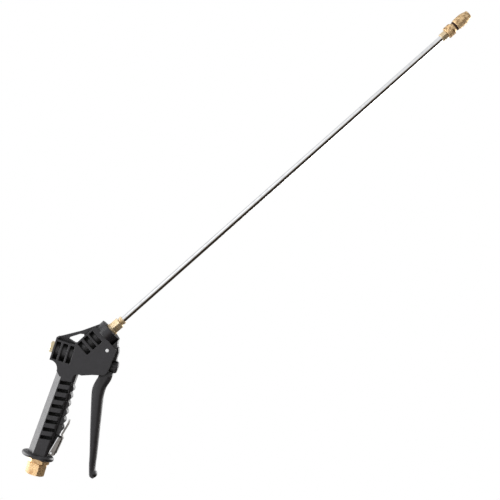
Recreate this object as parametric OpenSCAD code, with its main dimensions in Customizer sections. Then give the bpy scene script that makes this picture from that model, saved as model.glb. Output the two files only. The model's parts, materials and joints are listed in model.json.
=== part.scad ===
// Hand-held spray gun: moulded handle with a rear-loaded valve, a hinged trigger with a flow
// screw, a trigger lock, a swivel hose inlet, a straight steel lance and an adjustable nozzle.
// The side view lies in the XZ plane, with the lance rising to +X, and Y runs across the gun.
// The origin is the centre of the swivel nut's mouth. All sizes are in millimetres.

/* [Layout] */
// Lean of the hose inlet from the vertical, in degrees
inlet_lean = 17; // [16:0.5:18]
// Lean of the hand grip from the vertical, in degrees
grip_lean = 20; // [19:0.5:21]
// Fall of the valve's axis towards the trigger, in degrees
valve_fall = 18; // [17:0.5:19]
// Rise of the lance above the horizontal, in degrees
lance_rise = 41.5; // [40.5:0.5:42.5]
// From the hose mouth to the middle of the grip, along the inlet
mouth_to_grip = 72; // [70:0.5:74]
// From the hose mouth to the valve's axis, along the inlet
mouth_to_valve = 174.7; // [172:0.1:178]
// From the rear cap's outer face to the inlet's crossing, along the valve
cap_to_inlet = 29.9; // [29:0.1:31]
// From the inlet's crossing to the lance's crossing, along the valve
inlet_to_lance = 15.3; // [15:0.1:16.5]
// From the valve's axis to the nose's front face, along the lance
nose_reach = 54.8; // [53:0.1:57]

/* [Handle] */
// Width of the handle and of its valve housing
handle_w = 30; // [29:0.5:32]
// Depth of the grip behind its axis, to the spine
spine_x = 14.5; // [13.5:0.5:16]
// Depth of the grip ahead of its axis, between the finger ridges
palm_x = 13.4; // [12.5:0.1:14.5]
// Width of the spine's flat between its bevels
spine_flat = 12; // [10:0.5:16]
// Width of the spine's bevels, seen from the side
spine_bevel = 8.5; // [6:0.5:9]
// Radius of the rounded edges on the finger side
palm_r = 4.5; // [3:0.5:6]
// Number of recessed slots on each side of the grip
slot_count = 8; // [5:1:9]
// Distance from one grip slot to the next
slot_pitch = 11.3; // [10:0.1:11.6]
// Height of the top slot above the middle of the grip
slot_top = 62.7; // [60:0.1:64]
// Length of a grip slot, from front to rear
slot_len = 15.4; // [12:0.1:17]
// Height of a grip slot
slot_h = 5.2; // [3.5:0.1:5.6]
// Depth of a grip slot
slot_depth = 6; // [3:0.1:6.4]
// Tilt of the grip slots, front end up, in degrees
slot_tilt = 10.5; // [8:0.5:12]
// How far the finger ridges stand ahead of the grip
ridge_out = 2.4; // [1.5:0.1:3]
// Lean of the finger side's swell below the top ridges, in degrees
swell_lean = 4.5; // [3.5:0.5:5]
// Height of the valve housing above the valve's axis
housing_up = 13.4; // [12.5:0.1:14.5]
// Height of the housing's end plate above the valve's axis
plate_up = 16.4; // [15.5:0.1:17.5]
// Thickness of the housing's end plate
plate_t = 2.6; // [2:0.1:3]
// Depth of the valve housing below the valve's axis
housing_down = 16.2; // [15:0.1:17.5]
// Radius of the valve's round barrel inside the ribbed bays
barrel_r = 13; // [12:0.1:13.5]
// Radius of the outlet's round barrel inside the ribbed bays
outlet_barrel_r = 12.5; // [11.5:0.1:13]
// Thickness of the middle web that the bays leave
web_t = 8; // [6:0.5:10]
// Thickness of the walls around the bays
wall = 2.4; // [2:0.1:3]
// Width of the hanging strap
strap_w = 12; // [10:0.5:14]
// Thickness of the hanging strap
strap_t = 4; // [3:0.1:5]
// Diameter of the nose collar
nose_d = 34.2; // [33:0.1:36]
// Length of the nose collar
nose_t = 12.4; // [11:0.1:13]
// Play of the flow knob on each side between the cheeks
cheek_play = 0.4; // [0.3:0.1:0.8]
// Thickness of the guard at the foot of the grip
guard_t = 7; // [6:0.5:8]
// Length of the guard from front to rear
guard_len = 45.5; // [44:0.5:48]
// Width of the guard
guard_w = 35; // [33:0.5:38]

/* [Valve] */
// Diameter of the rear cap's head
cap_d = 15.8; // [15.4:0.1:17]
// How far the cap's head and washer stand out of the housing
cap_out = 5.8; // [5:0.1:7]
// Diameter of the rear cap's threaded plug
plug_d = 14; // [13.8:0.1:14.4]
// Length of the rear cap's threaded plug
plug_len = 9; // [7:0.5:10]
// Diameter of the spring chamber
chamber_d = 13; // [12.6:0.1:13.4]
// Distance of the valve seat from the cap's outer face
seat_s = 35; // [34.8:0.1:35.6]
// Thickness of the valve seat
seat_t = 4; // [3.6:0.1:4.4]
// Bore of the valve seat
seat_bore = 7.2; // [6.6:0.1:7.6]
// Diameter of the poppet
poppet_d = 10; // [9.4:0.1:10.6]
// Diameter of the valve stem
stem_d = 4; // [3.6:0.1:4.4]
// Distance of the stem's tip from the cap's outer face
stem_tip_s = 75; // [74:0.1:75.4]
// Diameter of the valve spring's coil, outside
spring_d = 11; // [10:0.1:11.6]
// Diameter of the valve spring's wire
spring_wire = 1.2; // [0.8:0.1:1.4]
// Number of turns in the valve spring
spring_turns = 5; // [4:0.5:6]
// Diameter of the stem guide's thread
guide_d = 14; // [13:0.1:15]
// Distance of the stem guide's face from the cap's outer face
guide_face_s = 60; // [59:0.1:61]
// Length of the stem guide
guide_len = 8; // [7:0.1:9]

/* [Trigger] */
// Distance of the trigger's pivot from the cap's outer face, along the valve
pivot_s = 77.3; // [77:0.1:78]
// Height of the trigger's pivot above the valve's axis
pivot_t = 19.9; // [19.5:0.1:20.3]
// Diameter of the pivot pin
pivot_d = 4.6; // [4.2:0.1:5.4]
// Width of the trigger
trigger_w = 16.4; // [15:0.1:16.5]
// Thickness of the trigger's walls
trigger_wall = 3; // [2.5:0.1:3.5]
// Radius of the trigger's eye around the pin
eye_r = 7.5; // [7:0.1:8]
// Diameter of the flow knob
knob_d = 17; // [16.4:0.1:17.4]
// Thickness of the flow knob
knob_t = 10.3; // [9:0.1:11]
// Radius of the flow knob's rounded edge
knob_round = 3; // [1.5:0.1:3.5]
// Diameter of the flow screw
screw_d = 6; // [5:0.1:6.4]
// Distance of the trigger's knob face from the cap's outer face
knob_face_s = 87; // [86.5:0.1:87.5]

/* [Trigger lock] */
// Height of the lock's pivot from the middle of the grip, negative below it
lock_z = -35.3; // [-36:0.1:-34]
// Distance of the lock's pivot ahead of the grip's axis
lock_x = 16.3; // [16:0.1:16.8]
// Width of the lock
lock_w = 18; // [16:0.5:20]
// Thickness of the lock's steel sheet
sheet = 1.2; // [1:0.1:1.5]
// Diameter of the lock's pin
lock_pin_d = 3; // [2.5:0.1:3.5]
// Width of the lock's tongue
tongue_w = 8; // [6:0.5:9]
// Lean of the lock ahead of the grip, in degrees
lock_lean = 5; // [4:0.5:6]
// Depth of the lock's channel ahead of its pin
lock_ahead = 6.3; // [5.8:0.1:6.5]
// Distance of the tongue ahead of the lock's pin
tongue_ahead = 4.6; // [4.4:0.1:5]
// Depth of the tongue's folded edges
tongue_fold = 2.4; // [1.8:0.1:2.6]

/* [Hose inlet] */
// Width across the flats of the swivel nut
nut_af = 24; // [23.5:0.5:27]
// Turn of the swivel nut about the inlet, in degrees
nut_turn = 20; // [0:1:60]
// Length of the swivel nut
nut_len = 16.5; // [16:0.1:19]
// Bore of the swivel nut's pipe thread, at the crests
nut_bore = 18.63; // [18.2:0.01:19]
// Depth of the swivel nut's thread
thread_depth = 8.5; // [8:0.1:9]
// Width across the flats of the inlet fitting's collar
collar_af = 27; // [25:0.5:28]
// Thickness of the inlet fitting's collar
collar_t = 6; // [5:0.1:7]
// Diameter of the inlet fitting's stub in the grip
stub_d = 16; // [14:0.5:17]
// Length of the inlet fitting's stub in the grip
stub_len = 16; // [12:0.5:18]
// Bore of the inlet fitting and of the grip's water way
inlet_bore = 9; // [8:0.1:9.4]

/* [Lance] */
// Outer diameter of the lance tube
tube_d = 8; // [7.6:0.1:8.4]
// Wall of the lance tube
tube_wall = 1; // [0.8:0.1:1.4]
// Length of the lance tube
tube_len = 610; // [450:5:900]
// Distance of the tube's lower end from the nose's face
tube_start = 6; // [5:0.1:7]
// Diameter of the outlet fitting's collar
outlet_collar_d = 17.6; // [16.4:0.1:18.4]
// Thickness of the outlet fitting's collar
outlet_collar_t = 2.8; // [2:0.1:3.5]
// Diameter of the outlet fitting's threads
outlet_thread_d = 13; // [12.4:0.1:13.4]
// Width across the flats of the lance nut
lance_nut_af = 15; // [14.5:0.5:17]
// Length of the lance nut's hexagon
lance_nut_len = 13; // [12:0.1:14]
// Diameter of the lance nut's end collar
nut_end_d = 11.7; // [11:0.1:12.5]

/* [Nozzle] */
// Width across the flats of the lance's end piece
end_af = 11; // [10.8:0.1:12]
// Length of the hexagon on the lance's end piece
end_len = 9; // [8:0.1:10]
// Diameter of the ridged ring on the nozzle body
ring_d = 17; // [16:0.1:18]
// Length of the ridged ring on the nozzle body
ring_len = 10.4; // [9.8:0.1:12]
// Diameter of the nozzle cap at its widest
cap_wide_d = 16.2; // [15:0.1:16.6]
// Diameter of the nozzle cap at its tip
cap_tip_d = 11.5; // [11:0.1:12.5]
// Length of the nozzle cap
cap_len = 23.9; // [23:0.1:26]
// Diameter of the spray hole
spray_d = 1.5; // [0.8:0.1:2]

/* [Fits] */
// Radial clearance of a turning or sliding fit
fit = 0.05; // [0.03:0.01:0.08]
// Radial clearance between fixed pieces
snug = 0.02; // [0.01:0.01:0.04]
// Gap left between faces that meet on moving pieces
face_gap = 0.3; // [0.2:0.05:0.4]

/* [Hidden] */
$fn = 64;

nylon = "#2b2b2e";
brass = "#c9a468";
steel = "#c4c6c8";
rubber = "#151515";

// Directions of the four axes in the side view, in degrees above +X
inlet_a = 90 - inlet_lean;
grip_a = 90 - grip_lean;
valve_a = -valve_fall;
lance_a = lance_rise;

// A place in the side view, s along the direction a from p and t to its left
function place(p, a, s, t = 0) = p + s * [cos(a), sin(a)] + t * [-sin(a), cos(a)];

mouth_p = [0, 0];
grip_p = place(mouth_p, inlet_a, mouth_to_grip);
cap_p = place(place(mouth_p, inlet_a, mouth_to_valve), valve_a, -cap_to_inlet);
lance_s = cap_to_inlet + inlet_to_lance;
nose_p = place(place(cap_p, valve_a, lance_s), lance_a, nose_reach);
pivot_p = place(cap_p, valve_a, pivot_s, pivot_t);
lock_p = place(grip_p, grip_a, lock_z, -lock_x);

half_w = handle_w / 2;
housing_s = cap_out;
cap_washer_t = 1;
guard_s = nut_len + collar_t;
swivel_gap = 0.2;
cheek_gap = knob_d + 2 * cheek_play;

// ---- Helpers ----

// Children built along +Z, laid along the direction a from p; their +X then points to its right
module along(p, a) translate([p.x, 0, p.y]) rotate([0, 90 - a, 0]) children();

// Flat children of the side view, in the frame at p turned by a
module placed(p, a) translate(p) rotate(a) children();

// Flat children of the side view as a slab of width w across the gun
module slab(w) rotate([90, 0, 0]) linear_extrude(w, center = true) children();

// A round bar from z = a to z = b
module rod(a, b, r) translate([0, 0, a]) cylinder(r = r, h = b - a);

// A round ring from z = a to z = b
module ring(a, b, r_out, r_in) difference() {
    rod(a, b, r_out);
    rod(a - 1, b + 1, r_in);
}

// An O-ring of cord diameter d around the Z axis, centred at height z
module o_ring(z, r_in, d)
    translate([0, 0, z]) rotate_extrude() translate([r_in + d / 2, 0]) circle(d = d, $fn = 24);

// A hexagon from z = a to z = b with its ends turned down; corners point along Y when across
module hexagon(a, b, af, across = true) {
    corner_r = af / sqrt(3);
    turned = (corner_r - af / 2) * 0.6;
    translate([0, 0, a]) intersection() {
        rotate(across ? 30 : 0) cylinder(r = corner_r, h = b - a, $fn = 6);
        rotate_extrude() polygon([[0, 0], [af / 2, 0], [corner_r + 0.01, turned],
            [corner_r + 0.01, b - a - turned], [af / 2, b - a], [0, b - a]]);
    }
}

// A rectangle from x = -rear to x = front and w wide, with radii r1 at the rear and r2 ahead
module rounded_section(rear, front, w, r1, r2) {
    for (side = [-1, 1]) {
        translate([r1 - rear, side * (w / 2 - r1)]) circle(r1);
        translate([front - r2, side * (w / 2 - r2)]) circle(r2);
    }
    translate([-rear, r1 - w / 2]) square([r1, w - 2 * r1]);
    translate([r1 - rear, -w / 2]) square([rear + front - r1 - r2, w]);
    translate([front - r2, r2 - w / 2]) square([r2, w - 2 * r2]);
}

// ---- Handle ----

grip_foot = guard_s + guard_t - mouth_to_grip - 3;
grip_head = 84;
hollow_r = 11.5;
hollow_s = 19.8;
hollow = [hollow_s - hollow_r, -housing_down - hollow_r];
crotch_r = 9.1;
crotch = [51.8, -32.5];
heel_r = 7;
lug_r = 3.4;
ear_r = 5.4;
slot_front = 10.8;
swell_top = 58;
swell_foot = -2;
rib_top = -8;
nose_lap = 0.6;
nose_web = cheek_gap + 3.6;
relief_down = 40;
bay_starts = [cap_out + plate_t, 17.7, 27.8];
bay_ends = [14.9, 25, 33.8];
outlet_up = 18.2;
outlet_down = 14;
outlet_barrel_t = 5.6;
outlet_bays = [-22, -31.8, -42.5];
outlet_bay_len = 7;
slot_s = guide_face_s;
slot_lip = 0.9;
inlet_barrel_r = inlet_bore / 2 + 2.5;
outlet_socket = 16;
outlet_bore = 6;

// Points of an arc around c from the angle a to the angle b
function arc(c, r, a, b, n = 16) =
    [for (i = [0:n]) c + r * [cos(a + (b - a) * i / n), sin(a + (b - a) * i / n)]];

// Side view of the valve housing, the cheeks and the outlet barrel
module head_outline() {
    placed(cap_p, valve_a) {
        translate([housing_s, -housing_down]) square([plate_t, plate_up + housing_down]);
        polygon(concat([[housing_s, housing_up], [housing_s, -housing_down]],
            arc(hollow, hollow_r, 90, 0), [[hollow_s + 6, hollow.y - 6]],
            arc(crotch, crotch_r, 180, 76), [[67.9, -18.3], [83.8, -13.9], [86.5, -9.3],
            [88, -1.5], [88, 7], [89.2, 14], [89.2, 25], [87, 34.7], [86.7, 38.6], [73, 47],
            [lance_s + 12, housing_up]]));
    }
    placed(nose_p, lance_a) translate([-nose_reach, -outlet_down])
        square([nose_reach - nose_t + 1, outlet_up + outlet_down]);
}

// Side view of the strap that bridges from the housing to the nose, with its hanging hole
module strap_outline() placed(cap_p, valve_a) difference() {
    polygon([[housing_s, housing_up - 1], [housing_s, plate_up], [10.4, 18.8], [34.5, 33.9],
        [55.3, 50.1], [63, 45], [lance_s, 10], [28, 10]]);
    polygon([[20.9, 17.9], [21.5, 24.4 - strap_t], [34.5, 34.3 - strap_t * 1.2],
        [39.3, 30.6], [40.4, 28.6], [33.5, 16.5], [31, 15.6]]);
}

// The grip's section, with bevels beside the spine and rounded edges on the finger side
module grip_section() {
    front = palm_x - palm_r;
    polygon([[-spine_x, -spine_flat / 2], [-spine_x, spine_flat / 2],
        [spine_bevel - spine_x, half_w], [front, half_w], [front, -half_w],
        [spine_bevel - spine_x, -half_w]]);
    translate([front, palm_r - half_w]) square([palm_r, handle_w - 2 * palm_r]);
    for (side = [-1, 1]) translate([front, side * (half_w - palm_r)]) circle(palm_r);
}

// How far the finger side swells ahead of the grip's shaft at the height z
function swell(z) = tan(swell_lean) * (swell_top - max(min(z, swell_top), swell_foot));

// The grip's shaft, with a swell and finger ridges on its front
module grip() {
    ridge_r = 5.6;
    finger_w = handle_w - 2 * palm_r;
    along(grip_p, grip_a) {
        translate([0, 0, grip_foot]) linear_extrude(grip_head - grip_foot) grip_section();
        for (i = [0:slot_count - 3]) {
            z = slot_top - (i + 0.5) * slot_pitch;
            translate([palm_x + swell(z) + ridge_out - ridge_r, 0, z])
                rotate([90, 0, 0]) cylinder(r = ridge_r, h = finger_w, center = true);
        }
    }
    slab(finger_w - 1) placed(grip_p, grip_a - 90) polygon([[palm_x - 3, swell_top],
        [palm_x, swell_top], [palm_x + swell(swell_foot), swell_foot],
        [palm_x + swell(rib_top), rib_top], [palm_x - 3, rib_top]]);
}

// The guard plate at the foot of the grip, with a rounded rim
module guard() {
    r = guard_w / 2;
    rim = guard_t / 2;
    reach = (guard_len - guard_w) / 2;
    along(mouth_p, inlet_a) translate([-2.75, 0, guard_s]) {
        for (side = [-1, 1]) translate([side * reach, 0, 0]) rotate_extrude() {
            square([r - rim, guard_t]);
            translate([r - rim, rim]) intersection() {
                circle(rim);
                translate([0, -rim]) square([rim, guard_t]);
            }
        }
        rotate([90, 0, 90]) linear_extrude(2 * reach, center = true) {
            translate([rim - r, 0]) square([2 * (r - rim), guard_t]);
            for (side = [-1, 1]) translate([side * (r - rim), rim]) circle(rim);
        }
    }
}

// The flare that blends the grip's foot into the guard, cut off behind the lock
module heel() {
    top_r = 10.8;
    along(mouth_p, inlet_a) translate([-5, 0, guard_s + guard_t - 1]) difference() {
        rotate_extrude() difference() {
            square([top_r + heel_r, heel_r]);
            translate([top_r + heel_r, heel_r]) circle(heel_r);
        }
        translate([12.5, -25, -1]) cube([30, 50, heel_r + 2]);
    }
}

// The rib behind the trigger lock, and the lug that carries its pin
module lock_lug() {
    slab(lock_w - 2 * sheet - 2 * face_gap) placed(grip_p, grip_a - 90) {
        polygon([[palm_x - 3, rib_top + 2], [palm_x + swell(rib_top) - 0.2, rib_top + 2],
            [palm_x + swell(rib_top) - 0.4, -14], [palm_x - 0.5, lock_z],
            [palm_x - 3, lock_z]]);
        translate([lock_x, lock_z]) circle(lug_r);
        polygon([[lock_x, lock_z + lug_r], [palm_x - 3, lock_z + 8],
            [palm_x - 5, lock_z - lug_r], [lock_x, lock_z - lug_r]]);
    }
}

// The lock's pin hole, and the pockets that its two ears swing in
module lock_pockets() translate([lock_p.x, 0, lock_p.y]) rotate([90, 0, 0]) {
    cylinder(r = lock_pin_d / 2 + snug, h = lock_w, center = true);
    for (side = [-1, 1]) translate([0, 0, side * (lock_w - sheet) / 2])
        cylinder(r = ear_r + face_gap, h = sheet + 2 * face_gap, center = true);
}

// Recessed slots on both sides of the grip
module grip_slots() along(grip_p, grip_a)
    for (side = [-1, 1], i = [0:slot_count - 1]) {
        z = slot_top - i * slot_pitch;
        more = swell(z) / 4;
        translate([slot_front + (more - slot_len) / 2, side * half_w, z])
            rotate([0, -slot_tilt, 0])
                cube([slot_len + more, 2 * slot_depth, slot_h], center = true);
    }

// Bays on both sides between ribs, around the valve's and the outlet's round barrels
module ribbed_bays() for (side = [-1, 1]) {
    along(cap_p, valve_a) difference() {
        for (i = [0:len(bay_starts) - 1])
            translate([wall - housing_up, side > 0 ? web_t / 2 : -half_w - 1, bay_starts[i]])
                cube([housing_up + housing_down - 2 * wall, half_w + 1 - web_t / 2,
                    bay_ends[i] - bay_starts[i]]);
        rod(0, pivot_s, barrel_r);
        translate([0, 0, cap_to_inlet]) rotate([0, -(inlet_a - valve_a), 0])
            rod(-40, 0, inlet_barrel_r);
    }
    along(nose_p, lance_a) difference() {
        for (s = outlet_bays)
            translate([wall - outlet_up, side > 0 ? web_t / 2 : -half_w - 1,
                s - outlet_bay_len / 2])
                cube([outlet_up - wall + 4, half_w + 1 - web_t / 2, outlet_bay_len]);
        translate([-outlet_barrel_t, 0, 0]) rod(-nose_reach, 0, outlet_barrel_r);
    }
}

// The cut around the cheeks' front that bares the lower half of the nose collar
module nose_relief() along(nose_p, lance_a) translate([0, 0, nose_lap - nose_t]) {
    translate([0, -half_w - 1, 0]) cube([nose_d / 2 - 0.3, handle_w + 2, nose_t + 6]);
    for (side = [-1, 1]) translate([0, side > 0 ? nose_web / 2 : -half_w - 1, 0])
        cube([relief_down, half_w + 1 - nose_web / 2, nose_t + 6]);
}

// The slot between the cheeks that the trigger swings in
module trigger_slot() slab(cheek_gap) {
    translate(pivot_p) circle(eye_r + slot_lip);
    placed(cap_p, valve_a) {
        top = pivot_t + eye_r + slot_lip;
        polygon([[slot_s, -50], [slot_s, 6], [pivot_s - eye_r - slot_lip, pivot_t],
            [pivot_s, pivot_t], [pivot_s, top], [110, top], [110, -50]]);
    }
}

// The water ways and threaded sockets
module water_ways() {
    along(mouth_p, inlet_a) {
        rod(guard_s - 1, guard_s + stub_len, stub_d / 2 + snug);
        rod(guard_s, mouth_to_valve, inlet_bore / 2);
    }
    along(cap_p, valve_a) {
        rod(0, cap_out + plug_len + 0.5, plug_d / 2 + snug);
        rod(cap_out, seat_s + seat_t, chamber_d / 2);
        rod(seat_s, guide_face_s, stem_d / 2 + 3);
        rod(guide_face_s - guide_len, guide_face_s + 1, guide_d / 2 + snug);
    }
    along(nose_p, lance_a) {
        rod(-outlet_socket, 1, outlet_thread_d / 2 + snug);
        rod(-nose_reach, 0, outlet_bore / 2 + 0.5);
    }
}

module body() color(nylon) difference() {
    union() {
        difference() {
            slab(handle_w) head_outline();
            nose_relief();
        }
        slab(strap_w) strap_outline();
        along(nose_p, lance_a) rod(-nose_t, 0, nose_d / 2);
        grip();
        guard();
        heel();
        lock_lug();
    }
    grip_slots();
    ribbed_bays();
    trigger_slot();
    water_ways();
    translate([pivot_p.x, 0, pivot_p.y]) rotate([90, 0, 0])
        cylinder(r = pivot_d / 2 + snug, h = handle_w + 2, center = true);
    lock_pockets();
    along(nose_p, lance_a) rod(0, outlet_collar_t + lance_nut_len + 6, nose_d / 2 + 2);
}

// ---- Valve ----

poppet_s = seat_s - 10;
seal_t = 1.6;
guide_s = guide_face_s - guide_len;

module rear_cap() color(brass) along(cap_p, valve_a) difference() {
    union() {
        rotate_extrude() polygon([[0, 0], [cap_d / 2 - 0.8, 0], [cap_d / 2, 0.8],
            [cap_d / 2, cap_out - cap_washer_t], [0, cap_out - cap_washer_t]]);
        rod(1, cap_out + plug_len, plug_d / 2);
        rod(1, cap_out + plug_len + 2.5, spring_d / 2 - spring_wire - 0.3);
    }
    translate([0, 0, -1]) cylinder(d = 8 / cos(30), h = 5, $fn = 6);
}

module cap_washer() color(rubber) along(cap_p, valve_a)
    ring(cap_out - cap_washer_t, cap_out, cap_d / 2 - 0.1, plug_d / 2 + fit);

// A helix of round wire from z = a to z = b, swept as one mesh
module valve_spring() color(steel) along(cap_p, valve_a) {
    sides = 8;
    steps = 18;
    a = cap_out + plug_len + spring_wire / 2 + snug;
    b = poppet_s - spring_wire / 2 - snug;
    r = (spring_d - spring_wire) / 2;
    n = floor(spring_turns * steps);
    points = [for (i = [0:n], j = [0:sides - 1])
        let (turn = i * 360 / steps, q = j * 360 / sides,
            reach = r + spring_wire / 2 * cos(q))
        [reach * cos(turn), reach * sin(turn), a + (b - a) * i / n + spring_wire / 2 * sin(q)]];
    walls = [for (i = [0:n - 1], j = [0:sides - 1])
        let (k = (j + 1) % sides)
        each [[i * sides + j, i * sides + k, (i + 1) * sides + k],
            [i * sides + j, (i + 1) * sides + k, (i + 1) * sides + j]]];
    ends = [for (j = [1:sides - 2])
        each [[0, j + 1, j], [n * sides, n * sides + j, n * sides + j + 1]]];
    polyhedron(points, concat(walls, ends));
}

module valve_poppet() color(brass) along(cap_p, valve_a) difference() {
    union() {
        rod(poppet_s, seat_s - seal_t - snug, poppet_d / 2);
        rod(poppet_s - 3, seat_s - 5, spring_d / 2 - spring_wire - 0.3);
    }
    rod(poppet_s + 2, seat_s, stem_d / 2 + snug);
}

module poppet_seal() color(rubber) along(cap_p, valve_a)
    ring(seat_s - seal_t - snug, seat_s - snug, poppet_d / 2, stem_d / 2 + snug);

module valve_seat() color(brass) along(cap_p, valve_a) difference() {
    ring(seat_s, seat_s + seat_t, chamber_d / 2 - snug, seat_bore / 2);
    ring(seat_s + 1.2, seat_s + 2.8, chamber_d / 2 + 1, chamber_d / 2 - 1.5);
}

module seat_o_ring() color(rubber) along(cap_p, valve_a)
    o_ring(seat_s + 2, chamber_d / 2 - 1.5 + snug, 1.5 - 2 * snug);

module valve_stem() color(steel) along(cap_p, valve_a) rotate_extrude()
    polygon([[0, poppet_s + 2 + snug], [stem_d / 2, poppet_s + 2 + snug],
        [stem_d / 2, stem_tip_s - 0.6], [stem_d / 2 - 0.6, stem_tip_s], [0, stem_tip_s]]);

module stem_guide() color(brass) along(cap_p, valve_a) difference() {
    rod(guide_s, guide_face_s, guide_d / 2);
    rod(guide_s - 1, guide_face_s + 1, stem_d / 2 + fit);
    rod(guide_s + 1.5, guide_s + 3.3, stem_d / 2 + 1.5);
    for (side = [-1, 1]) translate([side * 4.6, 0, guide_face_s - 3]) cylinder(d = 2, h = 4);
}

module stem_o_ring() color(rubber) along(cap_p, valve_a)
    o_ring(guide_s + 2.4, stem_d / 2 + snug, 1.5 - 2 * snug);

// ---- Trigger ----

trigger_web = 3.2;
boss_t = 6;
knob_face_half = 8.9;
shelf_len = 7;
tip_gap = face_gap;

// Points of a smooth curve through the points p, n to a span
function spline(p, n = 4) = concat([for (i = [0:len(p) - 2], j = [0:n - 1])
    let (a = p[max(i - 1, 0)], b = p[i], c = p[i + 1], d = p[min(i + 2, len(p) - 1)], u = j / n)
    b + u / 2 * (c - a + u * (2 * a - 5 * b + 4 * c - d + u * (3 * b - a - 3 * c + d)))],
    [p[len(p) - 1]]);

lever_rear = [[-10, -20], [-12.6, -35], [-16.2, -41.2], [-20, -48.5], [-22.2, -57],
    [-23.3, -78], [-24.3, -106], [-25.1, -140], [-26.1, -158], [-26, -170.6]];
lever_front = [[-15.9, -171.5], [-17.8, -164], [-15.1, -142], [-12.7, -120], [-10.2, -98],
    [-7.9, -77], [-6.3, -64.5], [-3.4, -53.5], [-0.2, -48], [3.5, -42.4], [5.6, -37],
    [6.2, -32.8]];

// Side view of the trigger: its eye, the knob's face, the lever and its rounded toe
module trigger_outline() {
    translate(pivot_p) {
        circle(eye_r);
        translate([-20.7, -171]) circle(5.4);
    }
    polygon(concat([for (p = concat([[4.5, 4.5], [-5.3, 5.3], [-eye_r, 0]],
        spline(lever_rear), [[-20.7, -173]], spline(lever_front))) pivot_p + p],
        [place(cap_p, valve_a, knob_face_s, -knob_face_half),
            place(cap_p, valve_a, knob_face_s, knob_face_half),
            place(cap_p, valve_a, knob_face_s + shelf_len, knob_face_half),
            pivot_p + [11.8, -13.5], pivot_p + [13.4, -8], pivot_p + [14.9, -3.8],
            pivot_p + [14.9, 2.9]]));
}

module trigger() color(nylon) difference() {
    union() {
        difference() {
            slab(trigger_w) trigger_outline();
            slab(trigger_w - 2 * trigger_wall) intersection() {
                translate([-trigger_web, 0]) trigger_outline();
                translate(pivot_p + [-60, -160]) square([80, 150]);
            }
        }
        along(cap_p, valve_a) rod(knob_face_s - boss_t, knob_face_s, screw_d / 2 + 3);
    }
    along(cap_p, valve_a) rod(pivot_s - 5, knob_face_s + 1, screw_d / 2 + fit);
    translate([pivot_p.x, 0, pivot_p.y]) rotate([90, 0, 0])
        cylinder(r = pivot_d / 2 + fit, h = handle_w, center = true);
}

module trigger_pin() color(steel) translate([pivot_p.x, 0, pivot_p.y]) rotate([90, 0, 0])
    cylinder(d = pivot_d, h = handle_w + 0.6, center = true);

module flow_screw() color(steel) along(cap_p, valve_a) {
    tip = stem_tip_s + tip_gap;
    translate([0, 0, tip + screw_d / 2]) sphere(d = screw_d);
    rod(tip + screw_d / 2, knob_face_s + knob_t - 1.5, screw_d / 2);
}

module flow_knob() color(nylon) along(cap_p, valve_a) difference() {
    back = knob_face_s + 0.5;
    r = knob_d / 2;
    union() {
        rod(back, back + knob_t - knob_round, r);
        rod(back, back + knob_t, r - knob_round);
        translate([0, 0, back + knob_t - knob_round]) rotate_extrude()
            translate([r - knob_round, 0]) intersection() {
                circle(knob_round);
                square(knob_round);
            }
    }
    rod(back - 1, knob_face_s + knob_t - 1.2, screw_d / 2 + fit);
    for (i = [0:11]) rotate(i * 30) translate([r + 0.5, 0, back - 1])
        cylinder(r = 1.1, h = knob_t + 2, $fn = 24);
}

// ---- Trigger lock ----

lock_a = grip_a - lock_lean;
bend_r = 2.4;
channel_len = 24;
plate_start = 4;
ear_down = 2.7;

// The lock's channel from its ears to its open end, with its back cut at a slant
module lock_channel() along(lock_p, lock_a) difference() {
    translate([0, 0, -ear_down]) linear_extrude(channel_len + ear_down)
        rounded_section(8, lock_ahead, lock_w, 2, bend_r);
    translate([0, 0, -5]) linear_extrude(channel_len + 8)
        rounded_section(9, lock_ahead - sheet, lock_w - 2 * sheet, 2, bend_r - sheet);
    translate([-5, sheet - lock_w / 2, -5]) cube([12, lock_w - 2 * sheet, 5 + plate_start]);
    rotate([90, 0, 0]) linear_extrude(lock_w + 2, center = true) {
        polygon([[-12, -5], [-2.6, -5], [-3.4, 0], [-2, 10], [-0.6, channel_len + 1],
            [-12, channel_len + 1]]);
        polygon([[lock_ahead - 4.6, -5], [lock_ahead + 1, 1], [lock_ahead + 1, -5]]);
    }
}

// Side view of the lock's tongue in the lock's frame, t thick, from its step to its tip
module tongue_outline(t) {
    step_z = channel_len + 4.6;
    bow_z = channel_len + 21;
    tip_z = channel_len + 27;
    polygon([[lock_ahead - sheet, channel_len - 4], [lock_ahead, channel_len - 4],
        [lock_ahead, channel_len], [tongue_ahead - 0.9, step_z], [tongue_ahead + 0.8, bow_z],
        [tongue_ahead - 0.2, tip_z], [tongue_ahead - 0.2 - t, tip_z - 0.2],
        [tongue_ahead + 0.8 - t, bow_z], [tongue_ahead - 0.9 - t, step_z],
        [lock_ahead - sheet, channel_len - 1]]);
}

module trigger_lock() color(steel) difference() {
    union() {
        lock_channel();
        fold_y = tongue_w / 2 - sheet / 2;
        slab(tongue_w) placed(lock_p, lock_a - 90) tongue_outline(sheet);
        for (side = [-1, 1]) translate([0, side * fold_y, 0])
            slab(sheet) placed(lock_p, lock_a - 90) tongue_outline(tongue_fold);
    }
    translate([lock_p.x, 0, lock_p.y]) rotate([90, 0, 0])
        cylinder(r = lock_pin_d / 2 + fit, h = lock_w + 2, center = true);
}

module lock_pin() color(steel) translate([lock_p.x, 0, lock_p.y]) rotate([90, 0, 0])
    cylinder(d = lock_pin_d, h = lock_w + 1.6, center = true);

// ---- Hose inlet ----

tail_r = 7.1;
relief_r = nut_bore / 2 + 0.5;
washer_t = 2;
tail_s = thread_depth + washer_t;
shelf_s = nut_len - 3.2;
clip_s = shelf_s - 1.4;

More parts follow.
